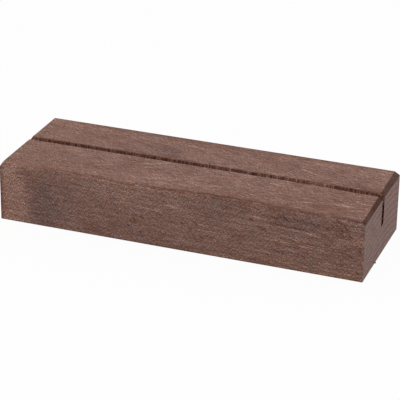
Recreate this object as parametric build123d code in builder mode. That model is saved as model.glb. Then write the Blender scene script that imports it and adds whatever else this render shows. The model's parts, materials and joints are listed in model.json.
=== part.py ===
from build123d import *
import os

# All sizes are in millimetres. The block lies along X with its front towards -Y,
# and the origin is at the middle of the face that it stands on.

# Block, planed from one length of hardwood
block_length = 152.4
block_width = 50.8
block_height = 25.4

# Slot sawn into the top from end to end, in which a photo or a card stands
slot_width = 3.2
slot_depth = 12.7
front_cheek = 25.2

# Bevels rubbed by hand along the two short top edges. A run lies along the
# top face and a drop lies down the end face. The right one widens to the back.
right_run_front = 1.2
right_run_back = 2.2
right_drop_front = 1.3
right_drop_back = 1.35
left_run = 1.4
left_drop = 2.1

# Rounding of the long top edge at the front, which fades from left to right
front_round_left = 1.5
front_round_right = 0.5

# Sanded edges that are even along their length
back_round = 0.3
foot_round = 0.25
end_round = 0.2
mouth_round = 0.2

# How far each cut runs past the wood. A bevel also carries on past both of
# its faces by a share of its own run and drop, so that its slope is kept.
cut_overrun = 2.0
bevel_past_share = 0.5

# Places worked out from the sizes above
front_y = -block_width / 2
right_x = block_length / 2
slot_y = front_y + front_cheek + slot_width / 2


# A size that tapers along an edge, carried on past the end where it is `near`
def carried_on(near, far, edge_length):
    return near - (far - near) * cut_overrun / edge_length


# Triangle that takes a bevel off one end. The side is 1 at the right and -1 at the left.
def bevel_triangle(side, run, drop):
    edge_x = side * right_x
    run_past = run * bevel_past_share
    drop_past = drop * bevel_past_share
    inner = (edge_x - side * (run + run_past), block_height + drop_past)
    outer = (edge_x + side * run_past, block_height + drop_past)
    lower = (edge_x + side * run_past, block_height - drop - drop_past)
    return [inner, outer, lower]


with BuildPart() as slotted_block:
    # Plain bar. In the sketch, X runs from the front to the back and Y runs up.
    with BuildSketch(Plane.YZ) as end_face:
        Rectangle(block_width, block_height, align=(Align.CENTER, Align.MIN))
        fillet(end_face.vertices().group_by(Axis.Y)[0], radius=foot_round)
        fillet(end_face.vertices().group_by(Axis.Y)[-1].sort_by(Axis.X)[-1], radius=back_round)
    extrude(amount=block_length / 2, both=True)

    # Front top edge, rounded off between a larger arc at the left and a smaller one at the right
    for end_x, round_here, round_there in (
        (-right_x - cut_overrun, front_round_left, front_round_right),
        (right_x + cut_overrun, front_round_right, front_round_left),
    ):
        reach = carried_on(round_here, round_there, block_length)
        on_top = (front_y + reach, block_height)
        on_front = (front_y, block_height - reach)
        with BuildSketch(Plane.YZ.offset(end_x)):
            with BuildLine():
                RadiusArc(on_front, on_top, reach)
                Polyline(
                    on_top,
                    (front_y + reach, block_height + cut_overrun),
                    (front_y - cut_overrun, block_height + cut_overrun),
                    (front_y - cut_overrun, block_height - reach),
                    on_front,
                )
            make_face()
    loft(ruled=True, mode=Mode.SUBTRACT)

    # Outline of both end faces
    fillet(slotted_block.faces().filter_by(Axis.X).edges(), radius=end_round)

    # Slot, open at both ends
    with BuildSketch(Plane.XY.offset(block_height)):
        with Locations((0, slot_y)):
            Rectangle(block_length + 2 * cut_overrun, slot_width)
    extrude(amount=-slot_depth, mode=Mode.SUBTRACT)
    mouth = slotted_block.edges().group_by(Axis.Z)[-1].filter_by(Axis.X).sort_by(Axis.Y)[:2]
    fillet(mouth, radius=mouth_round)

    # End bevels, each between a triangle in front of the block and one behind it
    for side, run_front, run_back, drop_front, drop_back in (
        (1, right_run_front, right_run_back, right_drop_front, right_drop_back),
        (-1, left_run, left_run, left_drop, left_drop),
    ):
        for level, run, drop in (
            (-front_y + cut_overrun, carried_on(run_front, run_back, block_width),
             carried_on(drop_front, drop_back, block_width)),
            (front_y - cut_overrun, carried_on(run_back, run_front, block_width),
             carried_on(drop_back, drop_front, block_width)),
        ):
            with BuildSketch(Plane.XZ.offset(level)):
                with BuildLine():
                    Polyline(*bevel_triangle(side, run, drop), close=True)
                make_face()
        loft(ruled=True, mode=Mode.SUBTRACT)

slotted_block.part.label = "slotted_block"

os.makedirs("parts", exist_ok=True)
export_step(slotted_block.part, "parts/slotted_block.step")
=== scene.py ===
import json
import math
import random

import bpy
from mathutils import Matrix, Vector, noise


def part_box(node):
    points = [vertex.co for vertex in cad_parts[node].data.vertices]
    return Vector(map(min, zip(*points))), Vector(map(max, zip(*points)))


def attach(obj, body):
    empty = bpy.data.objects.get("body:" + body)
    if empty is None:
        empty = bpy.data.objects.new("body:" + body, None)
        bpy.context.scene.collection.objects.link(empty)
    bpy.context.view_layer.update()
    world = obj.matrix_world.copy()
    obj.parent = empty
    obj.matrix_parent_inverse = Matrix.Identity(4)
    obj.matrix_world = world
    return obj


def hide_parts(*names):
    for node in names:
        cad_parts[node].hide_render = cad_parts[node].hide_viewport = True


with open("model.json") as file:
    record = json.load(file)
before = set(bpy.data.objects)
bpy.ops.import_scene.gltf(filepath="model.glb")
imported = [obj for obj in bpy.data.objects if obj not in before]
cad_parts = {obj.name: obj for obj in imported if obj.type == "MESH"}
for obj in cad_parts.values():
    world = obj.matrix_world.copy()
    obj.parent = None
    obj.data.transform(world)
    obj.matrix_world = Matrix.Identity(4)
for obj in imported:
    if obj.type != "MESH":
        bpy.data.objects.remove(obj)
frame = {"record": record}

# Everything is in metres. The block lies along X, its front looks towards -Y.
mm = 0.001
hair = 0.01 * mm                            # less than this counts as no distance
randomStart = 11                            # sets how the loose fibres fall
random.seed(randomStart)

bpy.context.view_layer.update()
blockLow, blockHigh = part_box("slotted_block")
slotMount = next(mount for mount in frame["record"]["mounts"] if mount["name"] == "photo_slot")
print("frame loaded, block", [round(side / mm, 1) for side in blockHigh - blockLow], "mm")

# Shape of the block. Runs lie on the top face, drops lie down the ends.
block = {
    "length": blockHigh.x - blockLow.x,
    "width": blockHigh.y - blockLow.y,
    "height": blockHigh.z - blockLow.z,
    "slotMiddle": slotMount["pos_m"][1],
    "slotWidth": 3.2 * mm,
    "slotDepth": 12.7 * mm,
    "rightRun": (1.2 * mm, 2.2 * mm),       # at the front, at the back
    "rightDrop": (1.3 * mm, 1.35 * mm),
    "leftRun": (1.4 * mm, 1.4 * mm),
    "leftDrop": (2.1 * mm, 2.1 * mm),
    "frontRound": (1.5 * mm, 0.5 * mm),     # at the left, at the right
    "frontRoundWander": 0.3,                # share by which sanding by hand varies it
    "frontRoundWanderLength": 9 * mm,
    "frontRoundSeed": 4.4,
    "backRound": 0.3 * mm,
    "footRound": 0.25 * mm,
    "endRound": 0.2 * mm,
    "mouthRound": 0.2 * mm,
    "bevelBand": 4.0 * mm,                  # wood under the top face that the bevels press down
}

# Torn fibres and nicks along both edges of the slot
tear = {
    "toothDepth": 0.16 * mm,
    "toothLength": 0.75 * mm,
    "nickDepth": 0.5 * mm,
    "nickLength": 2.3 * mm,
    "nickLevel": 0.62,                      # noise above this opens a nick
    "seeds": (1.7, 5.2),                    # of the front edge and of the back edge
    "nickSeedStep": 3.1,
    "reachOnTop": 0.9 * mm,
    "reachInSlot": 1.8 * mm,
    "burr": 0.35 * mm,                      # the front edge hangs over the slot by this
    "runOut": 0.75 * mm,                    # the blade ran out to the front by this at the right end
    "runOutShares": (0.74, 1.0),            # shares of the length where that begins and is full
    "runOutReach": 2.6 * mm,
}

# Dark line where the stain gathered along the front edge. Each stop is the share of the
# length, the way behind the edge in mm (below it where negative) and the strength.
edgeLine = {
    "stops": [
        (0.00, -0.3, 0.00), (0.08, 0.0, 0.05), (0.11, 0.6, 0.30), (0.17, 1.4, 0.50), (0.24, 0.8, 0.48),
        (0.29, 0.3, 0.50), (0.36, -0.2, 0.14), (0.46, 0.2, 0.16), (0.51, 1.0, 0.60), (0.56, 1.4, 1.00),
        (0.66, 1.8, 1.20), (0.73, 1.5, 1.10), (0.78, 0.9, 0.50), (0.84, 0.3, 0.38), (0.90, -0.2, 0.38),
        (0.94, 0.2, 0.48), (1.00, 0.1, 0.55),
    ],
    "reachOnTop": 1.8 * mm,
    "reachOnFront": 0.9 * mm,
    "wander": 0.5 * mm,
    "wanderLength": 3.0 * mm,
    "wanderSeed": 2.2,
    "patchiness": 0.7,
    "patchLength": 1.6 * mm,
    "patchSeed": 6.1,
    # Softer shade behind the edge: share of the length, reach in mm, strength
    "shade": [
        (0.00, 1.0, 0.05), (0.08, 2.0, 0.10), (0.20, 3.6, 0.30), (0.34, 4.0, 0.30), (0.45, 3.4, 0.34),
        (0.55, 2.8, 0.38), (0.66, 3.0, 0.55), (0.77, 3.0, 0.44), (0.88, 2.2, 0.40), (1.00, 1.5, 0.40),
    ],
    "shadeOnFront": 0.8 * mm,
}

# Stain gathered on the other edges, and painted contact shade along the foot: how strong, how far it reaches
rimStainAndShade = {
    "back": (0.45, 0.8 * mm),
    # darker along the foot: gathered stain, and painted contact shade where the block meets the floor
    "foot": (0.60, 0.7 * mm),
    "upright": (1.0, 2.0 * mm),
    "lipOnTop": (0.85, 0.9 * mm),
    "lipOnWall": (0.4, 0.8 * mm),
    "frontLip": (-0.35, 0.4 * mm),          # paler, where the blade raised the fibres
    "lipPatchiness": 0.7,
    "lipPatchLength": 2 * mm,
    "lipSeed": 9.3,
}

halfLength, halfWidth = block["length"] / 2, block["width"] / 2
slotFront = block["slotMiddle"] - block["slotWidth"] / 2
slotBack = block["slotMiddle"] + block["slotWidth"] / 2
slotFloor = block["height"] - block["slotDepth"]
noiseSlice = 0.3                            # keeps the noise off its grid points, where it is always zero


def between(pair, share):
    return pair[0] + (pair[1] - pair[0]) * share


def evenSteps(start, end, count):
    return [start + (end - start) * n / count for n in range(count + 1)]


def joinLines(*groups):
    lines = sorted(value for group in groups for value in group)
    kept = [lines[0]]
    for value in lines[1:]:
        if value - kept[-1] > grid["leastGap"]:
            kept.append(value)
    return kept


def nearest(lines, value):
    return min(range(len(lines)), key=lambda n: abs(lines[n] - value))


def drift(x, length, seed):
    # Smooth noise along the block, from about -1 to 1
    return noise.noise(Vector((x / length, seed, noiseSlice)))


def shareAlong(x):
    return (x + halfLength) / block["length"]


def shareBack(y):
    return min(1.0, max(0.0, (y + halfWidth) / block["width"]))


def roundedCorner(inFromSide, inFromTop, radius):
    # Takes the square at a corner onto a quarter disc, and leaves the rest alone
    if inFromSide >= radius or inFromTop >= radius:
        return inFromSide, inFromTop
    side, top = radius - inFromSide, radius - inFromTop
    reach = max(side, top)
    eighth = math.pi / 4
    angle = eighth * top / side if side >= top else 2 * eighth - eighth * side / top
    return radius - reach * math.cos(angle), radius - reach * math.sin(angle)


def runOutShare(x):
    start, end = tear["runOutShares"]
    share = min(1.0, max(0.0, (shareAlong(x) - start) / (end - start)))
    return share * share * (3 - 2 * share)                      # level where it begins and where it ends


def runOutAt(x):
    return tear["runOut"] * runOutShare(x)


def tornEdge(x, edgeY):
    # How far an edge of the slot is torn back at x: fine teeth, a deeper nick here and there
    seed = tear["seeds"][0 if edgeY == slotFront else 1]
    teeth = tear["toothDepth"] * drift(x, tear["toothLength"], seed)
    nick = drift(x, tear["nickLength"], seed + tear["nickSeedStep"]) * 0.5 + 0.5        # from 0 to 1
    torn = teeth + tear["nickDepth"] * max(0.0, nick - tear["nickLevel"]) / (1 - tear["nickLevel"])
    return torn - tear["burr"] * (1 - runOutShare(x)) if edgeY == slotFront else torn


def stationX(station, y):
    # A station is a place along the block: in from an end, on a bevel, or between the ridges
    kind, value = station
    leftRun, rightRun = between(block["leftRun"], shareBack(y)), between(block["rightRun"], shareBack(y))
    rim = block["endRound"]
    if kind == "left":
        return -halfLength + value
    if kind == "right":
        return halfLength - value
    if kind == "leftBevel":
        return -halfLength + rim + (leftRun - rim) * value
    if kind == "rightBevel":
        return halfLength - rim - (rightRun - rim) * value
    return between((-halfLength + leftRun, halfLength - rightRun), value)


def topHeight(x, y):
    for runs, drops, inFromEnd in (
        (block["leftRun"], block["leftDrop"], x + halfLength),
        (block["rightRun"], block["rightDrop"], halfLength - x),
    ):
        run = between(runs, shareBack(y))
        if inFromEnd < run:
            return block["height"] - between(drops, shareBack(y)) * (1 - inFromEnd / run)
    return block["height"]


def frontRoundAt(x):
    wander = drift(x, block["frontRoundWanderLength"], block["frontRoundSeed"])
    return between(block["frontRound"], shareAlong(x)) * (1 + block["frontRoundWander"] * wander)


def woodPoint(station, y, z):
    # Moves a point of the square grid to its place on the worked block
    x = stationX(station, y)
    fromTop = block["height"] - z
    newY, newZ = y, z
    for edgeY, inward, isTop, radius in (
        (-halfWidth, 1, True, frontRoundAt(x)),
        (halfWidth, -1, True, block["backRound"]),
        (-halfWidth, 1, False, block["footRound"]),
        (halfWidth, -1, False, block["footRound"]),
        (slotFront, -1, True, block["mouthRound"]),
        (slotBack, 1, True, block["mouthRound"]),
    ):
        inside, depth = (y - edgeY) * inward, fromTop if isTop else z
        if 0 <= inside < radius and 0 <= depth < radius:
            inside, depth = roundedCorner(inside, depth, radius)
            newY = edgeY + inside * inward
            newZ = block["height"] - depth if isTop else depth
    for edgeY, away in ((slotFront, -1), (slotBack, 1)):
        onWall = abs(y - edgeY) < hair
        fromEdge = fromTop / tear["reachInSlot"] if onWall else abs(y - edgeY) / tear["reachOnTop"]
        inWood = (y - edgeY) * away > -hair
        if inWood and fromEdge < 1 and (onWall or fromTop < hair):
            newY += away * tornEdge(x, edgeY) * (1 - fromEdge) ** 2
    fromSlot = max(slotFront - y, y - slotBack, 0.0) + max(slotFloor - z, 0.0)
    newY -= runOutAt(x) * max(0.0, 1 - fromSlot / tear["runOutReach"])
    side, inEnd, rim = math.copysign(1, x), halfLength - abs(x), block["endRound"]
    if inEnd < rim and halfWidth - abs(newY) < rim:
        inEnd, inSide = roundedCorner(inEnd, halfWidth - abs(newY), rim)
        newY = math.copysign(halfWidth - inSide, newY)
    if inEnd < rim and newZ < rim:
        inEnd, newZ = roundedCorner(inEnd, newZ, rim)
    x = side * (halfLength - inEnd)
    bandFoot = block["height"] - block["bevelBand"]
    if newZ > bandFoot:
        newZ = bandFoot + (newZ - bandFoot) * (topHeight(x, newY) - bandFoot) / block["bevelBand"]
    return Vector((x, newY, newZ))


def fading(distance, strengthAndReach):
    strength, reach = strengthAndReach
    return strength * max(0.0, 1 - distance / reach)


def alongStops(stops, share):
    # The two values that hold at a share of the length, from a list of stops
    share = min(1.0, max(0.0, share))
    after = next(n for n in range(1, len(stops)) if share <= stops[n][0])
    low, high = stops[after - 1], stops[after]
    part = (share - low[0]) / (high[0] - low[0])
    return between((low[1], high[1]), part), between((low[2], high[2]), part)


def edgeStain(x, y, z):
    # How much stain has gathered at a point of the outer edges, with painted contact shade along the foot
    fromTop, fromFront, fromBack = block["height"] - z, y + halfWidth, halfWidth - y
    fromEnd = halfLength - abs(x)
    stain = max(
        fading(fromBack + fromTop, rimStainAndShade["back"]),
        # painted contact shade along the foot, with stain gathered there
        fading(z + min(fromFront, fromBack, fromEnd), rimStainAndShade["foot"]),
    )
    if x * (fromFront - fromBack) > 0:
        stain = max(stain, fading(min(fromFront, fromBack) + fromEnd, rimStainAndShade["upright"]))
    if fromFront < hair or fromTop < hair:
        behind = fromFront - fromTop
        place, strength = alongStops(edgeLine["stops"], shareAlong(x))
        wander = edgeLine["wander"] * drift(x, edgeLine["wanderLength"], edgeLine["wanderSeed"])
        away = behind - place * mm - wander
        strength *= 1 + edgeLine["patchiness"] * drift(x, edgeLine["patchLength"], edgeLine["patchSeed"])
        reach = edgeLine["reachOnTop" if away > 0 else "reachOnFront"]
        shadeReach, shade = alongStops(edgeLine["shade"], shareAlong(x))
        shadeReach = shadeReach * mm if behind > 0 else edgeLine["shadeOnFront"]
        stain = max(stain, fading(abs(away), (strength, reach)) + fading(abs(behind), (shade, shadeReach)))
    return stain


def lipStain(x, y, z):
    # Stain along the slot: dark behind it and down the top of its back wall, pale in front of it
    fromTop = block["height"] - z
    ragged = 1 + rimStainAndShade["lipPatchiness"] * drift(x, rimStainAndShade["lipPatchLength"], rimStainAndShade["lipSeed"])
    if fromTop < hair and y > slotBack - hair:
        return fading((y - slotBack) / ragged, rimStainAndShade["lipOnTop"])
    if abs(y - slotBack) < hair:
        return fading(fromTop / ragged, rimStainAndShade["lipOnWall"])
    if fromTop < hair and y < slotFront + hair:
        return fading((slotFront - y) / ragged, rimStainAndShade["frontLip"])
    return 0.0


# Lines of the block's mesh. They lie closer together near its edges, and the counts fill in between.
grid = {
    "fromFrontEdge": [0.1 * mm, 0.2 * mm, 0.3 * mm, 0.45 * mm, 0.7 * mm, 1.1 * mm, 1.6 * mm, 2.3 * mm],
    "fromOtherEdges": [0.1 * mm, 0.2 * mm, 0.3 * mm, 0.45 * mm, 0.7 * mm, 1.1 * mm],
    "fromMouth": [0.07 * mm, 0.14 * mm, 0.24 * mm, 0.5 * mm, 0.9 * mm, 1.6 * mm],
    "fromEnd": [0.0, 0.07 * mm, 0.14 * mm, block["endRound"]],
    "onBevel": [0.35, 0.7],                 # shares of its run
    "leastGap": 2 * hair,                   # of two lines nearer than this only one is kept
    "frontCheek": 16,
    "slotWidth": 4,
    "backCheek": 15,
    "underSlot": 8,
    "slotDepth": 9,
    "along": 320,
    "sharpAngle": 24,                       # degrees, from where an edge is shaded sharp
}


def meshLines():
    # Places across the block, up it, and stations along it
    ys = joinLines(
        [-halfWidth + step for step in grid["fromFrontEdge"]],
        [halfWidth - step for step in grid["fromOtherEdges"]],
        [slotFront - step for step in grid["fromMouth"]],
        [slotBack + step for step in grid["fromMouth"]],
        evenSteps(slotFront, slotBack, grid["slotWidth"]),
        evenSteps(-halfWidth, slotFront, grid["frontCheek"]),
        evenSteps(slotBack, halfWidth, grid["backCheek"]),
    )
    zs = joinLines(
        grid["fromOtherEdges"],
        [block["height"] - step for step in grid["fromFrontEdge"] + grid["fromMouth"]],
        evenSteps(0.0, slotFloor, grid["underSlot"]),
        evenSteps(slotFloor, block["height"], grid["slotDepth"]),
    )
    stations = [("left", step) for step in grid["fromEnd"]]
    stations += [("leftBevel", share) for share in grid["onBevel"]]
    stations += [("middle", n / grid["along"]) for n in range(grid["along"] + 1)]
    stations += [("rightBevel", share) for share in reversed(grid["onBevel"])]
    stations += [("right", step) for step in reversed(grid["fromEnd"])]
    return ys, zs, stations


def meshFrom(name, points, faces):
    made = bpy.data.meshes.new(name)
    made.from_pydata(points, [], faces)
    return made


def makeBlockMesh(name):
    ys, zs, stations = meshLines()
    ridge = len(grid["fromEnd"]) + len(grid["onBevel"])         # stations before the top face begins
    slotFirst, slotLast, floorRow = nearest(ys, slotFront), nearest(ys, slotBack), nearest(zs, slotFloor)
    lastX, lastY, lastZ = len(stations) - 1, len(ys) - 1, len(zs) - 1
    longGrain, endGrain, bevel, sawn = range(4)
    points, edgeStainsAndShade, lipStains, numbers, faces, finishes = [], [], [], {}, [], []

    def corner(i, j, k):
        if (i, j, k) not in numbers:
            numbers[i, j, k] = len(points)
            points.append(woodPoint(stations[i], ys[j], zs[k]))
            x = stationX(stations[i], ys[j])
            edgeStainsAndShade.append(edgeStain(x, ys[j], zs[k]))
            lipStains.append(lipStain(x, ys[j], zs[k]))
        return numbers[i, j, k]

    def quad(finish, *corners):
        faces.append([corner(*place) for place in corners])
        finishes.append(finish)

    for i in range(lastX):
        h = i + 1
        onTop = longGrain if ridge <= i < lastX - ridge else bevel
        for j in range(lastY):
            quad(longGrain, (i, j, 0), (i, j + 1, 0), (h, j + 1, 0), (h, j, 0))
            inSlot = slotFirst <= j < slotLast
            row = floorRow if inSlot else lastZ
            quad(sawn if inSlot else onTop, (i, j, row), (h, j, row), (h, j + 1, row), (i, j + 1, row))
        for k in range(lastZ):
            quad(longGrain, (i, 0, k), (h, 0, k), (h, 0, k + 1), (i, 0, k + 1))
            quad(longGrain, (h, lastY, k), (i, lastY, k), (i, lastY, k + 1), (h, lastY, k + 1))
            if k >= floorRow:
                quad(sawn, (h, slotFirst, k), (i, slotFirst, k), (i, slotFirst, k + 1), (h, slotFirst, k + 1))
                quad(sawn, (i, slotLast, k), (h, slotLast, k), (h, slotLast, k + 1), (i, slotLast, k + 1))
    for j in range(lastY):
        for k in range(lastZ):
            if k < floorRow or not slotFirst <= j < slotLast:
                quad(endGrain, (0, j, k), (0, j, k + 1), (0, j + 1, k + 1), (0, j + 1, k))
                quad(endGrain, (lastX, j, k), (lastX, j + 1, k), (lastX, j + 1, k + 1), (lastX, j, k + 1))
    made = meshFrom(name, points, faces)
    made.polygons.foreach_set("material_index", finishes)
    made.polygons.foreach_set("use_smooth", [True] * len(faces))
    for label, values in (("edgeStain", edgeStainsAndShade), ("lipStain", lipStains)):
        made.attributes.new(label, "FLOAT", "POINT").data.foreach_set("value", values)
    made.set_sharp_from_angle(angle=math.radians(grid["sharpAngle"]))
    made.update()
    return made


# Everything that shows in the wood, in mm from the left end, the front face and the base.
# A layer is noise with cells of that size, leaning by so many degrees about X, Y and Z.
# A patch has half sizes, and fades from its core, a share of them, to nothing at its rim.
# Tone is a natural logarithm of the colour, red is a share from greyer to warmer.
figure = {
    "layers": [
        {"cell": (1.10, 0.20, 0.28), "lean": (0, 3.5, -18), "detail": 1.0, "tone": 2.15, "echo": 0.45},
        {"cell": (0.50, 0.22, 0.30), "tone": 1.20, "shift": (31, 0, 7), "echo": 0.35},
        {"cell": (2.4, 0.30, 0.32), "lean": (9, 3.5, -14), "detail": 1.0, "tone": 1.1, "shift": (5, 9, 0)},
        {"cell": (9.0, 5.0, 4.5), "detail": 2.0, "tone": 0.45, "shift": (2, 2, 2)},
    ],
    # Each echo is the same noise turned over and moved, so that a pale fibre has a dark one beside it
    "echoes": [(0, 1.1, 0), (0, 0, 0.8)],
    # Long streaks, stronger at the right end than at the left
    "streaks": {
        "cell": (7.0, 0.9, 0.42), "lean": (9, 3.4, -6), "detail": 1.0, "shift": (0, 3, 1), "tone": (0.6, 1.5),
    },
    "reds": [
        {"cell": (1.2, 0.5, 0.5), "detail": 1.0, "red": 0.04, "shift": (9, 1, 4)},
        {"cell": (4.5, 2.4, 2.0), "detail": 1.0, "red": 0.46, "shift": (4, 8, 1)},
    ],
    "pores": {"cell": (1.6, 0.16, 0.16), "lean": (0, 3, -6), "level": (0.60, 0.72), "tone": -0.30},
    # Growth rings round the heart of the tree, far under the block and slightly out of line with it
    "rings": {
        "heart": (23.9, -99.7), "rise": 0.032, "every": 2.73, "paleAt": 0.23, "tone": 0.10,
        "fineLines": 0.34, "fineTone": 0.45, "fineDetail": 1.0,
        "warp": {"cell": (30, 12, 9), "detail": 1.0}, "warpBy": 0.7,
    },
    "noiseRoughness": 0.6,
    "fibreRelief": 0.25,                    # height of the fibres against the depth of a pore
    # Makes the outlines of the patches ragged
    "stir": {"cell": (4.0, 1.5, 1.3), "detail": 2.0, "by": (9.0, 3.5, 3.0)},
    "softCore": 0.25,                       # core of the patches that name none
    "patches": [
        # The front: pale left end, grey-brown stain beside it, paler band under the edge, painted as the
        # highlight of the rounded edge
        {"at": (3.8, 0, 10), "size": (9.8, 5, 17), "core": 0.70, "tone": 0.28, "red": 0.09},
        {"at": (18.4, 0, 10), "size": (7.0, 5, 14), "core": 0.50, "tone": -0.15, "red": -0.12},
        {"at": (26, 0, 12), "size": (14, 5, 16), "tone": -0.04, "red": -0.07},
        {"at": (11, 0, 21.5), "size": (5, 3, 2), "tone": -0.14},
        {"at": (9, 0.5, 24.9), "size": (11, 2, 1.6), "core": 0.5, "tone": 0.22, "red": 0.06},
        {"at": (5, 0, 21.5), "size": (9, 3, 5), "tone": 0.14},
        {"at": (62, 0, 17), "size": (30, 3, 6), "tone": 0.09},
        {"at": (146, 0, 11), "size": (14, 3, 5), "tone": -0.11},
        # painted highlight along the rounded front edge
        {"at": (50, 0, 24), "size": (36, 3, 7), "tone": 0.15},
        {"at": (93, 0, 22.5), "size": (12, 2, 4), "tone": 0.0, "red": -0.08},
        {"at": (130, 0, 20.6), "size": (21, 3, 3.6), "tone": -0.20, "red": -0.07},
        {"at": (137, 0, 24.4), "size": (18, 2, 1.5), "tone": 0.10},
        {"at": (118, 0, 0), "size": (52, 3, 6), "tone": 0.0, "red": 0.08},
        {"at": (148, 0, 1), "size": (6, 3, 4), "tone": 0.0, "red": 0.18},
        {"at": (136, 0, 2), "size": (15, 3, 3), "tone": 0.09},
        # The top: a little warmer all over, grey behind the slot, redder at the right of the front edge
        {"at": (76, 28, 25.4), "size": (120, 50, 2), "core": 0.8, "tone": 0.0, "red": 0.035},
        {"at": (60, 34, 25), "size": (7, 8, 5), "tone": -0.20, "red": -0.13},
        {"at": (51, 38, 25), "size": (8, 6, 5), "tone": -0.05, "red": -0.10},
        {"at": (136, 5.5, 25.4), "size": (15, 7, 2), "tone": -0.22, "red": 0.07},
        {"at": (122, 3.5, 25.4), "size": (10, 4, 2), "tone": -0.12},
        {"at": (61, 41, 25.4), "size": (11, 5, 2), "tone": -0.10},
        {"at": (78, 32.5, 25.4), "size": (16, 4, 2), "tone": -0.08},
        {"at": (100, 32.5, 25.4), "size": (7, 3.5, 2), "tone": -0.14},
        {"at": (114, 22, 25.4), "size": (26, 5, 2), "tone": -0.09},
        {"at": (70, 22, 25.4), "size": (18, 4, 2), "tone": 0.09},
        {"at": (93, 13, 25.4), "size": (18, 5, 2), "tone": -0.09},
        {"at": (12, 16, 25.4), "size": (26, 8, 2), "tone": -0.07},
        {"at": (68, 49.8, 25.4), "size": (76, 3.5, 2), "core": 0.5, "tone": -0.15},
        {"at": (31, 49.8, 25.4), "size": (25, 3.5, 2), "core": 0.5, "tone": -0.11},
        {"at": (119, 49.8, 25.4), "size": (22, 3.5, 2), "core": 0.5, "tone": -0.10},
        {"at": (141, 23, 25.4), "size": (7, 11, 2), "tone": 0.12},
        {"at": (149, 48.5, 25.4), "size": (5, 4, 2), "core": 0.5, "tone": 0.14},
        {"at": (103, 12.5, 25.4), "size": (10, 5, 2), "tone": -0.08},
        {"at": (117, 2.5, 25.4), "size": (10, 3.5, 2), "tone": -0.14},
        {"at": (92, 38, 25.4), "size": (8, 4, 2), "tone": -0.12},
        {"at": (60, 38, 25.4), "size": (7, 4, 2), "tone": -0.10},
        {"at": (42.5, 10.8, 25.4), "size": (6, 3, 2), "tone": -0.14, "red": 0.04},
        {"at": (51.5, 15.6, 25.4), "size": (6, 2.5, 2), "tone": -0.12, "red": 0.04},
        {"at": (62, 9, 25.4), "size": (18, 9, 3), "tone": 0.08},
        {"at": (10, 48, 25.4), "size": (18, 9, 3), "tone": 0.10, "red": 0.05},
        {"at": (4.3, 34, 25.4), "size": (1.0, 4, 2), "tone": -0.4},
    ],
    # Pale and dark lines on the front and on the top: place, half length, half width, turn, tone
    "frontLines": [
        (75, 18.2, 8.5, 0.35, 5, 0.42), (62, 16.1, 8.0, 0.3, 4, 0.28), (131, 16.6, 9.5, 0.35, 4, 0.42),
        (122, 14.0, 5.0, 0.3, 2, 0.39), (118.5, 11.4, 6.5, 0.3, 3, 0.45), (129, 10.8, 4.0, 0.3, 0, 0.42),
        (109, 20.1, 8.0, 0.35, 5, 0.31), (36, 7.0, 18, 0.3, 1.5, 0.38), (124, 6.8, 6.0, 0.3, 3, 0.28),
        (125, 18.0, 7.0, 0.5, 4, -0.59), (112, 15.3, 3.2, 0.5, 25, -0.49), (131, 12.0, 5.5, 0.4, 2, -0.35),
        (8.5, 19.7, 2.4, 0.4, 0, -0.60), (6.8, 21.2, 2.4, 0.45, 5, -0.50), (2.6, 5.2, 1.5, 0.45, 0, -0.60),
        (6.4, 2.8, 1.2, 0.4, 0, -0.60), (40, 2.2, 6.0, 0.4, -1, -0.40), (57, 9.5, 2.4, 0.4, 12, -0.40),
    ],
    "topLines": [
        (41, 13.3, 8.5, 0.9, 27, 0.40), (55.5, 20.2, 6.5, 0.9, 18, 0.42), (36.5, 9.6, 6.0, 0.7, 26, -0.30),
        (49, 16.3, 3.5, 0.7, 25, -0.40), (56.5, 18.6, 5.5, 0.6, 13, -0.45), (62.5, 23.4, 3.5, 0.9, 30, 0.30),
        (121, 35.9, 10, 1.1, -24, 0.32), (126, 9.0, 5.5, 0.9, 24, 0.34), (140, 11.2, 10, 0.9, 0, 0.36),
        (139, 9.6, 9.0, 0.7, 1, -0.28), (130.5, 18.3, 5.0, 0.9, -12, 0.26), (97, 14.5, 4.0, 0.9, -38, 0.25),
    ],
    # Dark flecks that run down to the right on the front: place, half length, turn
    "flecks": [
        (121.0, 21.5, 2.3, 43), (132.2, 20.8, 2.4, 34), (139.6, 21.6, 1.4, 36), (141.7, 24.0, 1.2, 45),
        (143.6, 20.1, 1.2, 36), (137.8, 20.0, 1.3, 27), (146.9, 18.4, 1.8, 42), (117.2, 20.8, 1.8, 35),
        (124.4, 21.8, 1.1, 45), (107.2, 18.6, 1.8, 30), (137.2, 13.4, 1.7, 50), (147.4, 9.9, 1.9, 30),
        (128.8, 6.5, 1.4, 42), (84.3, 13.0, 1.9, 38), (87.0, 7.2, 1.4, 25), (62.2, 11.3, 2.0, 40),
        (58.5, 10.0, 1.6, 38), (134.2, 21.2, 1.0, 30), (144.8, 21.5, 0.8, 45), (150.8, 12.9, 1.2, 40),
        (150.3, 3.5, 1.2, 42), (56.0, 7.1, 1.1, 40), (61.2, 5.0, 1.2, 40), (78.6, 12.0, 1.0, 30),
    ],
    # A crack that runs down to the splinter on the right end: from the front, height, half length, turn
    "endCrack": (15.9, 1.3, 2.8, -28),
    "fleckWidth": 0.36,
    "fleckTone": -1.20,
    "frontLineDepth": 2.0,                  # how far into the wood each kind of mark reaches
    "topLineDepth": 1.5,
    "fleckDepth": 1.5,
    "crackDepth": 2.0,
    "colourReach": 1.1,                     # tone from the middle of a stain to its palest and darkest
    "colourStops": 8,
    "toneSpread": (0.95, 1.25, 1.37),       # a darker place is also redder
    "greyer": (0.76, 1.12, 1.40),
    "warmer": (1.24, 0.88, 0.60),
    "edgeTone": -0.70,                      # at full strength of the gathered stain and the painted shade along the foot
    "edgeRed": 0.08,
    "lipTone": -0.75,
    "ior": 1.45,
    "roughByTone": -0.06,                   # paler fibres shine a little more
}

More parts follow.
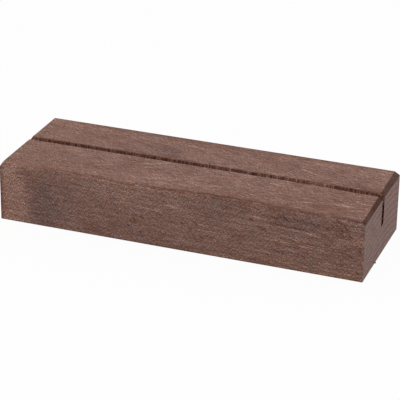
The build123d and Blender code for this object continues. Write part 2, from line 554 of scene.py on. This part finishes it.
# Finishes of the same wood: the colour at its middle tone, how strongly the figure shows in it,
# and the surface, with the relief in mm
stains = {
    "longGrain": {
        "colour": (0.1985, 0.1033, 0.0790), "tone": 1.0, "red": 1.0, "rings": 0.7,
        "rough": 0.72, "shine": 0.28, "relief": 0.035,
    },
    "endGrain": {
        "colour": (0.200, 0.1125, 0.0945), "tone": 0.8, "red": 1.6, "rings": 1.4,
        "rough": 0.70, "shine": 0.28, "relief": 0.02,
    },
    "bevel": {
        "colour": (0.081, 0.041, 0.0315), "tone": 0.7, "red": 1.0, "rings": 0.5,
        "rough": 0.62, "shine": 0.08, "relief": 0.02,
        "patches": [{"at": (152, 18, 25), "size": (8, 8, 6), "core": 0.6, "tone": -0.30, "red": 0.10}],
    },
    "sawnSlot": {
        # its wide colour reach lets the painted shade deep in the slot go dark
        "colour": (0.216, 0.097, 0.0692), "tone": 0.6, "red": 1.0, "rings": 0.3, "colourReach": 2.4,
        "rough": 0.80, "shine": 0.10, "relief": 0.05,
    },
    "fibre": {
        "colour": (0.250, 0.150, 0.120), "tone": 0.6, "red": 1.0, "rings": 0.0,
        "rough": 0.80, "shine": 0.20, "relief": 0.01,
    },
    # near-black splinter: its darkness is painted shade at the foot
    "splinter": {
        "colour": (0.030, 0.020, 0.018), "tone": 0.5, "red": 1.0, "rings": 0.0,
        "rough": 0.70, "shine": 0.10, "relief": 0.02,
    },
}

# Upright lines of the saw on the walls of the slot, and where the walls are paler or darker, with painted
# shade deep in the slot and painted light at its open right end
slotWallMarksAndShade = {
    "lines": [
        {"cell": (0.45, 3.0, 6.0), "lean": (0, 6, 0), "detail": 1.0, "tone": 3.0, "relief": 2.0},
        {"cell": (2.5, 6.0, 8.0), "detail": 1.0, "tone": 1.0, "relief": 0.0, "shift": (7, 0, 0)},
    ],
    "patches": [
        {"at": (0, 28, 25), "size": (6, 6, 6), "tone": 0.4},
        {"at": (92, 28, 25), "size": (26, 6, 8), "tone": 0.25},
        {"at": (122, 28, 25), "size": (20, 6, 8), "tone": 0.35},
        # painted shade: the walls darken deep in the slot
        {"at": (76, 27, 10), "size": (150, 20, 14.0), "core": 0.92, "tone": -2.1},
        # paler top of the back wall at the open right end: torn wood, and painted light from the open end
        {"at": (150.7, 27.9, 25.5), "size": (2.0, 2.0, 1.5), "core": 0.4, "tone": 0.80},
    ],
}

middle = 0.5                                # value of a noise layer that changes nothing


def addNode(tree, kind, inputs=None, **settings):
    made = tree.nodes.new("ShaderNode" + kind)
    for key, value in settings.items():
        setattr(made, key, value)
    for key, value in (inputs or {}).items():
        if isinstance(value, bpy.types.NodeSocket):
            tree.links.new(value, made.inputs[key])
        else:
            made.inputs[key].default_value = value
    return made


def calc(tree, operation, *values, clamp=False):
    return addNode(tree, "Math", dict(enumerate(values)), operation=operation, use_clamp=clamp).outputs[0]


def vectorCalc(tree, operation, *values):
    return addNode(tree, "VectorMath", dict(enumerate(values)), operation=operation).outputs


def mixColours(tree, share, first, second, blend="MIX"):
    # On this node, sockets 6 and 7 and result 2 are those for colours
    sockets = {0: share, 6: first, 7: second}
    return addNode(tree, "Mix", sockets, data_type="RGBA", blend_type=blend).outputs[2]


def fitted(tree, place, size, at=(0, 0, 0), lean=(0, 0, 0)):
    # Coordinates that run from 0 at a place, with one unit for the given size
    return addNode(tree, "Mapping", {
        "Vector": place, "Location": at, "Rotation": [math.radians(angle) for angle in lean], "Scale": size,
    }, vector_type="TEXTURE").outputs[0]


def grain(tree, place, layer):
    cells = fitted(tree, place, layer["cell"], layer.get("shift", (0, 0, 0)), layer.get("lean", (0, 0, 0)))
    return addNode(tree, "TexNoise", {
        "Vector": cells, "Scale": 1.0,
        "Detail": layer.get("detail", 0.0), "Roughness": figure["noiseRoughness"],
    }).outputs["Fac"]


def weigh(tree, value, weight, total):
    # Adds a noise layer to the total, so that its middle value changes nothing
    return calc(tree, "MULTIPLY_ADD", value, weight, calc(tree, "SUBTRACT", total, weight * middle))


def addPatches(tree, place, patches, tone, red):
    for patch in patches:
        inside = fitted(tree, place, patch["size"], patch["at"], patch.get("lean", (0, 0, 0)))
        mask = addNode(tree, "MapRange", {
            "Value": vectorCalc(tree, "LENGTH", inside)["Value"],
            "From Min": patch.get("core", figure["softCore"]), "From Max": 1.0, "To Min": 1.0, "To Max": 0.0,
        }, interpolation_type="SMOOTHSTEP").outputs[0]
        tone = calc(tree, "MULTIPLY_ADD", mask, patch["tone"], tone)
        if "red" in patch:
            red = calc(tree, "MULTIPLY_ADD", mask, patch["red"], red)
    return tone, red


def strokes():
    # The lines and flecks of the figure as thin patches
    topFace, rightEnd = block["height"] / mm, block["length"] / mm
    thin, dark = figure["fleckWidth"], figure["fleckTone"]
    for x, z, reach, width, turn, tone in figure["frontLines"]:
        size = (reach, figure["frontLineDepth"], width)
        yield {"at": (x, 0, z), "size": size, "lean": (0, turn, 0), "tone": tone}
    for x, y, reach, width, turn, tone in figure["topLines"]:
        size = (reach, width, figure["topLineDepth"])
        yield {"at": (x, y, topFace), "size": size, "lean": (0, 0, turn), "tone": tone}
    for x, z, reach, turn in figure["flecks"]:
        size = (reach, figure["fleckDepth"], thin)
        yield {"at": (x, 0, z), "size": size, "lean": (0, turn, 0), "tone": dark}
    y, z, reach, turn = figure["endCrack"]
    size = (figure["crackDepth"], reach, thin)
    yield {"at": (rightEnd, y, z), "size": size, "lean": (turn, 0, 0), "tone": dark}


def addFibres(tree, place):
    # All layers of fibre, the fine ones with their echoes
    tone = 0.0
    for layer in figure["layers"]:
        tone = weigh(tree, grain(tree, place, layer), layer["tone"], tone)
        for step in figure["echoes"] if "echo" in layer else []:
            moved = dict(layer, shift=[a + b for a, b in zip(layer.get("shift", (0, 0, 0)), step)])
            tone = weigh(tree, grain(tree, place, moved), -layer["echo"] * layer["tone"], tone)
    return tone


def addStreaks(tree, place, along, tone):
    streaks = figure["streaks"]
    weight = addNode(tree, "MapRange", {
        "Value": along, "From Max": block["length"] / mm,
        "To Min": streaks["tone"][0], "To Max": streaks["tone"][1],
    }).outputs[0]
    streak = calc(tree, "SUBTRACT", grain(tree, place, streaks), middle)
    return calc(tree, "MULTIPLY_ADD", streak, weight, tone)


def ringTone(tree, place, along):
    # Wide bands, one for each year's growth, and finer lines in them
    rings = figure["rings"]
    fromHeart = vectorCalc(tree, "SUBTRACT", place, (0, *rings["heart"]))[0]
    fromHeart = vectorCalc(tree, "MULTIPLY", fromHeart, (0, 1, 1))[0]
    depth = vectorCalc(tree, "LENGTH", fromHeart)["Value"]
    fromRightEnd = calc(tree, "SUBTRACT", along, block["length"] / mm)
    depth = calc(tree, "ADD", depth, calc(tree, "MULTIPLY", fromRightEnd, rings["rise"]))
    depth = weigh(tree, grain(tree, place, rings["warp"]), rings["warpBy"], depth)
    years = calc(tree, "SUBTRACT", calc(tree, "DIVIDE", depth, rings["every"]), rings["paleAt"])
    wave = calc(tree, "COSINE", calc(tree, "MULTIPLY", years, math.tau))
    lines = addNode(tree, "TexNoise", {
        "W": calc(tree, "DIVIDE", depth, rings["fineLines"]), "Scale": 1.0, "Detail": rings["fineDetail"],
    }, noise_dimensions="1D").outputs[0]
    return weigh(tree, lines, rings["fineTone"], calc(tree, "MULTIPLY", wave, rings["tone"]))


def stirred(tree, place):
    # The same place, pushed about a little by noise
    stir = figure["stir"]
    swirl = addNode(tree, "TexNoise", {
        "Vector": fitted(tree, place, stir["cell"]), "Scale": 1.0, "Detail": stir["detail"],
    }).outputs["Color"]
    swirl = vectorCalc(tree, "SUBTRACT", swirl, (middle, middle, middle))[0]
    return vectorCalc(tree, "MULTIPLY_ADD", swirl, stir["by"], place)[0]


def makeWoodFigure():
    group = bpy.data.node_groups.new("woodFigure", "ShaderNodeTree")
    for label in ("Tone", "Red", "Rings", "Height"):
        group.interface.new_socket(label, in_out="OUTPUT", socket_type="NodeSocketFloat")
    group.interface.new_socket("Place", in_out="OUTPUT", socket_type="NodeSocketVector")
    place = addNode(group, "Mapping", {
        "Vector": addNode(group, "TexCoord").outputs["Object"],
        "Location": (halfLength / mm, halfWidth / mm, 0), "Scale": (1 / mm, 1 / mm, 1 / mm),
    }).outputs[0]
    along = addNode(group, "SeparateXYZ", {0: place}).outputs["X"]
    fibres = addFibres(group, place)
    low, high = figure["pores"]["level"]
    pores = addNode(group, "MapRange", {
        "Value": grain(group, place, figure["pores"]), "From Min": low, "From Max": high,
    }).outputs[0]
    tone = addStreaks(group, place, along, fibres)
    tone = calc(group, "MULTIPLY_ADD", pores, figure["pores"]["tone"], tone)
    red = 0.0
    for layer in figure["reds"]:
        red = weigh(group, grain(group, place, layer), layer["red"], red)
    tone, red = addPatches(group, stirred(group, place), figure["patches"], tone, red)
    tone, red = addPatches(group, place, strokes(), tone, red)
    results = {
        "Tone": tone,
        "Red": red,
        "Rings": ringTone(group, place, along),
        "Height": calc(group, "SUBTRACT", calc(group, "MULTIPLY", fibres, figure["fibreRelief"]), pores),
        "Place": place,
    }
    ends = group.nodes.new("NodeGroupOutput")
    for label, value in results.items():
        group.links.new(value, ends.inputs[label])
    return group


def emptyMaterial(name):
    material = bpy.data.materials.new(name)
    material.use_nodes = True
    material.node_tree.nodes.clear()
    return material


def stainColour(tree, stain, tone, red):
    # Darker or paler by the tone, then greyer or warmer by the red. At 0 both are half way.
    reach = stain.get("colourReach", figure["colourReach"])
    ramp = addNode(tree, "ValToRGB", {"Fac": calc(tree, "MULTIPLY_ADD", tone, 0.5 / reach, 0.5, clamp=True)})
    stops = ramp.color_ramp.elements
    for n in range(1, figure["colourStops"]):
        stops.new(n / figure["colourStops"])
    for stop in stops:
        level = (stop.position * 2 - 1) * reach
        stop.color = [c * math.exp(level * s) for c, s in zip(stain["colour"], figure["toneSpread"])] + [1]
    share = calc(tree, "ADD", red, 0.5, clamp=True)
    tint = mixColours(tree, share, (*figure["greyer"], 1), (*figure["warmer"], 1))
    return mixColours(tree, 1.0, ramp.outputs[0], tint, "MULTIPLY")


def makeStain(name, stain, wall=None):
    material = emptyMaterial(name)
    tree = material.node_tree
    wood = addNode(tree, "Group", node_tree=woodFigure).outputs
    tone = calc(tree, "MULTIPLY", wood["Tone"], stain["tone"])
    red = calc(tree, "MULTIPLY", wood["Red"], stain["red"])
    tone = calc(tree, "MULTIPLY_ADD", wood["Rings"], stain["rings"], tone)
    height = wood["Height"]
    if wall:
        for layer in wall["lines"]:
            lines = grain(tree, wood["Place"], layer)
            tone = weigh(tree, lines, layer["tone"], tone)
            height = weigh(tree, lines, layer["relief"], height)
        tone, red = addPatches(tree, wood["Place"], wall["patches"], tone, red)
    tone, red = addPatches(tree, wood["Place"], stain.get("patches", []), tone, red)
    # gathered stain and painted foot shade, carried on the mesh
    gatheredStainAndShade = addNode(tree, "Attribute", attribute_name="edgeStain").outputs["Fac"]
    onLip = addNode(tree, "Attribute", attribute_name="lipStain").outputs["Fac"]
    tone = calc(tree, "MULTIPLY_ADD", gatheredStainAndShade, figure["edgeTone"], tone)
    tone = calc(tree, "MULTIPLY_ADD", onLip, figure["lipTone"], tone)
    red = calc(tree, "MULTIPLY_ADD", gatheredStainAndShade, figure["edgeRed"], red)
    shader = addNode(tree, "BsdfPrincipled", {
        "Base Color": stainColour(tree, stain, tone, red),
        "IOR": figure["ior"],
        "Specular IOR Level": stain["shine"],
        "Roughness": calc(tree, "MULTIPLY_ADD", tone, figure["roughByTone"], stain["rough"], clamp=True),
        "Normal": addNode(tree, "Bump", {"Height": height, "Distance": stain["relief"] * mm}).outputs[0],
    })
    addNode(tree, "OutputMaterial", {"Surface": shader.outputs[0]})
    return material


woodFigure = makeWoodFigure()
longGrainStain = makeStain("stainedLongGrain", stains["longGrain"])
endGrainStain = makeStain("stainedEndGrain", stains["endGrain"])
bevelStain = makeStain("darkBevelStain", stains["bevel"])
# the slot's finish carries painted shade deep in the slot
sawnSlotStain = makeStain("sawnSlotStain", stains["sawnSlot"], slotWallMarksAndShade)
print("stains made,", len(woodFigure.nodes), "nodes in the wood figure")


def addPiece(name, mesh, *finishes):
    piece = bpy.data.objects.new(name, mesh)
    for finish in finishes:
        mesh.materials.append(finish)
    bpy.context.scene.collection.objects.link(piece)
    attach(piece, "root")
    return piece


slottedBlock = addPiece("slottedBlock", makeBlockMesh("slottedBlock"),
                        longGrainStain, endGrainStain, bevelStain, sawnSlotStain)
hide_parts("slotted_block")
print("block made,", len(slottedBlock.data.polygons), "faces")

# Loose fibres that the saw raised along both edges of the slot. A pair is a lowest and a highest value.
fibre = {
    "count": 52,
    "length": (0.6 * mm, 2.0 * mm),
    "thickness": (0.04 * mm, 0.09 * mm),
    "overSlot": (-0.05 * mm, 0.40 * mm),
    "lift": (-0.15 * mm, 0.12 * mm),
    "sag": 0.05 * mm,
    "fromEdge": 0.08 * mm,                  # how far the root lies behind the torn edge
    "underTop": 0.12 * mm,
    "clearOfLeftEnd": 3 * mm,
    "clearOfRightEnd": 4 * mm,
    "sides": 3,
    "bendShare": 0.5,                       # where along the fibre it bends
    "bendThickness": 0.7,                   # share of the thickness that is left there
}

# Fibres across the open end of the slot: height on the back wall, height of the tip, share crossed
acrossEnd = {
    "fibres": [
        (20.9 * mm, 22.3 * mm, 0.9), (18.4 * mm, 19.6 * mm, 0.9),
        (16.9 * mm, 18.0 * mm, 0.7), (14.9 * mm, 16.0 * mm, 0.8),
    ],
    "thickness": 0.12 * mm,
    "sag": 0.1 * mm,
    "inFromEnd": (0.15 * mm, 0.5 * mm),
    "inWall": 0.1 * mm,                     # the root is let into the back wall
    "outwards": 0.1 * mm,                   # the tip stands this much nearer to the end
}

# Splinter at the foot of the right end. The outline is in shares of its length and its height.
splinter = {
    "fromFront": 18 * mm,
    "length": 0.9 * mm,
    "height": 0.55 * mm,
    "out": 0.5 * mm,
    "inWood": 0.3 * mm,
    "outline": [(-0.5, 0.08), (0.45, 0.06), (0.5, 0.5), (0.1, 1.0), (-0.35, 0.7)],
    "tipShares": (0.7, 0.6),                # size of the tip against the root, along and up
    "tipLift": 0.05 * mm,
    "tipSlant": 0.12 * mm,                  # each corner of the tip stands back from the one before
}


def addSliver(points, faces, root, tip, thickness, sag):
    # Closed spike, thick at its root, with one bend
    sides, along = fibre["sides"], (tip - root).normalized()
    first = len(points)
    bend = first + sides
    for share, size in ((0.0, 1.0), (fibre["bendShare"], fibre["bendThickness"])):
        heart = root.lerp(tip, share) - Vector((0, 0, sag if share else 0))
        for n in range(sides):
            spoke = Matrix.Rotation(n * math.tau / sides, 3, along) @ along.orthogonal().normalized()
            points.append(heart + spoke * thickness * size)
    points.append(tip)
    faces.append(tuple(reversed(range(first, bend))))
    for n in range(sides):
        m = (n + 1) % sides
        faces.append((first + n, first + m, bend + m, bend + n))
        faces.append((bend + n, bend + m, bend + sides))


def makeFibreMesh(name):
    points, faces = [], []
    for n in range(fibre["count"]):
        away, edgeY = random.choice(((-1, slotFront), (1, slotBack)))
        x = random.uniform(-halfLength + fibre["clearOfLeftEnd"], halfLength - fibre["clearOfRightEnd"])
        rootY = edgeY + away * (tornEdge(x, edgeY) + fibre["fromEdge"]) - runOutAt(x)
        root = Vector((x, rootY, block["height"] - fibre["underTop"]))
        reach = random.choice((-1, 1)) * random.uniform(*fibre["length"])
        tipY = edgeY - away * random.uniform(*fibre["overSlot"]) - runOutAt(x + reach)
        tip = Vector((x + reach, tipY, block["height"] + random.uniform(*fibre["lift"])))
        addSliver(points, faces, root, tip, random.uniform(*fibre["thickness"]), fibre["sag"])
    for wallZ, tipZ, crossed in acrossEnd["fibres"]:
        x = halfLength - random.uniform(*acrossEnd["inFromEnd"])
        wallY = slotBack - runOutAt(x)
        root = Vector((x, wallY + acrossEnd["inWall"], wallZ))
        tip = Vector((x + acrossEnd["outwards"], wallY - crossed * block["slotWidth"], tipZ))
        addSliver(points, faces, root, tip, acrossEnd["thickness"], acrossEnd["sag"])
    return meshFrom(name, points, faces)


def makeSplinterMesh(name):
    rootX, tipX = halfLength - splinter["inWood"], halfLength + splinter["out"]
    middleY = -halfWidth + splinter["fromFront"]
    alongShare, upShare = splinter["tipShares"]
    roots, tips = [], []
    for n, (along, up) in enumerate(splinter["outline"]):
        offset, height = along * splinter["length"], up * splinter["height"]
        roots.append((rootX, middleY + offset, height))
        tipY, tipZ = middleY + offset * alongShare, splinter["tipLift"] + height * upShare
        tips.append((tipX - splinter["tipSlant"] * n, tipY, tipZ))
    sides = len(roots)
    faces = [tuple(reversed(range(sides))), tuple(range(sides, 2 * sides))]
    faces += [(n, (n + 1) % sides, sides + (n + 1) % sides, sides + n) for n in range(sides)]
    return meshFrom(name, roots + tips, faces)


addPiece("slotFibres", makeFibreMesh("slotFibres"), makeStain("rawFibre", stains["fibre"]))
addPiece("footSplinter", makeSplinterMesh("footSplinter"), makeStain("darkSplinter", stains["splinter"]))
print("fibres and splinter made")

# Camera at the photograph's place. Azimuth 0 looks along +Y, and the roll leans it anticlockwise.
shot = {
    "azimuth": 20.12,
    "elevation": 24.77,
    "roll": 0.81,
    "aim": (1.8 * mm, -3.3 * mm, 12.4 * mm),
    "distance": 724 * mm,
    "lens": 162.35,
    "sensor": 36.0,
    "clip": (0.01, 50),
}


def addCamera():
    turn, lift = math.radians(shot["azimuth"]), math.radians(shot["elevation"])
    back = Vector((math.sin(turn) * math.cos(lift), -math.cos(turn) * math.cos(lift), math.sin(lift)))
    data = bpy.data.cameras.new("shot")
    data.lens, data.sensor_width = shot["lens"], shot["sensor"]
    data.clip_start, data.clip_end = shot["clip"]
    camera = bpy.data.objects.new("shot", data)
    look = (-back).to_track_quat("-Z", "Y").to_matrix().to_4x4()
    lean = Matrix.Rotation(math.radians(shot["roll"]), 4, "Z")
    camera.matrix_world = Matrix.Translation(Vector(shot["aim"]) + back * shot["distance"]) @ look @ lean
    bpy.context.scene.collection.objects.link(camera)
    bpy.context.scene.camera = camera


# Pale floor and room, and one wide lamp overhead
studio = {
    "floorSize": 6.0,
    "floorColour": (0.8, 0.8, 0.8),
    "floorWhiten": 0.94,                    # share of plain white in the floor, where it is seen
    "skyStrength": 0.66,
    "seenSkyStrength": 1.0,
    "white": (1, 1, 1, 1),
    "lampSize": 1.2,
    "lampPlace": (0.25, -0.2, 1.5),
    "lampPower": 9.0,
}


def seenRays(tree):
    # 1 where the camera sees a thing, straight or in a mirror, and 0 where it only gives light
    rays = addNode(tree, "LightPath").outputs
    mirrored = calc(tree, "MAXIMUM", rays["Is Glossy Ray"], rays["Is Transmission Ray"])
    return calc(tree, "MAXIMUM", rays["Is Camera Ray"], mirrored)


def addFloor():
    half = studio["floorSize"] / 2
    corners = [(-half, -half, 0), (half, -half, 0), (half, half, 0), (-half, half, 0)]
    data = meshFrom("floor", corners, [(0, 1, 2, 3)])
    floor = bpy.data.objects.new("floor", data)
    bpy.context.scene.collection.objects.link(floor)
    material = emptyMaterial("paleFloor")
    tree = material.node_tree
    plain = addNode(tree, "BsdfDiffuse", {"Color": (*studio["floorColour"], 1)}).outputs[0]
    white = addNode(tree, "Emission", {"Color": studio["white"], "Strength": 1.0}).outputs[0]
    share = calc(tree, "MULTIPLY", seenRays(tree), studio["floorWhiten"])
    mixed = addNode(tree, "MixShader", {0: share, 1: plain, 2: white}).outputs[0]
    addNode(tree, "OutputMaterial", {"Surface": mixed})
    data.materials.append(material)


def addLight():
    world = bpy.data.worlds.new("paleRoom")
    bpy.context.scene.world = world
    world.use_nodes = True
    tree = world.node_tree
    tree.nodes.clear()
    # On this node, sockets 2 and 3 and result 0 are those for plain numbers
    strengths = {0: seenRays(tree), 2: studio["skyStrength"], 3: studio["seenSkyStrength"]}
    strength = addNode(tree, "Mix", strengths).outputs[0]
    sky = addNode(tree, "Background", {"Color": studio["white"], "Strength": strength}).outputs[0]
    addNode(tree, "OutputWorld", {"Surface": sky})
    data = bpy.data.lights.new("overheadPanel", "AREA")
    data.shape, data.size, data.energy = "DISK", studio["lampSize"], studio["lampPower"]
    lamp = bpy.data.objects.new("overheadPanel", data)
    lamp.location = studio["lampPlace"]
    lamp.rotation_euler = (-lamp.location).to_track_quat("-Z", "Y").to_euler()
    bpy.context.scene.collection.objects.link(lamp)


addCamera()
addFloor()
addLight()
bpy.context.scene.view_settings.view_transform = "Standard"
print("camera, floor and light set")
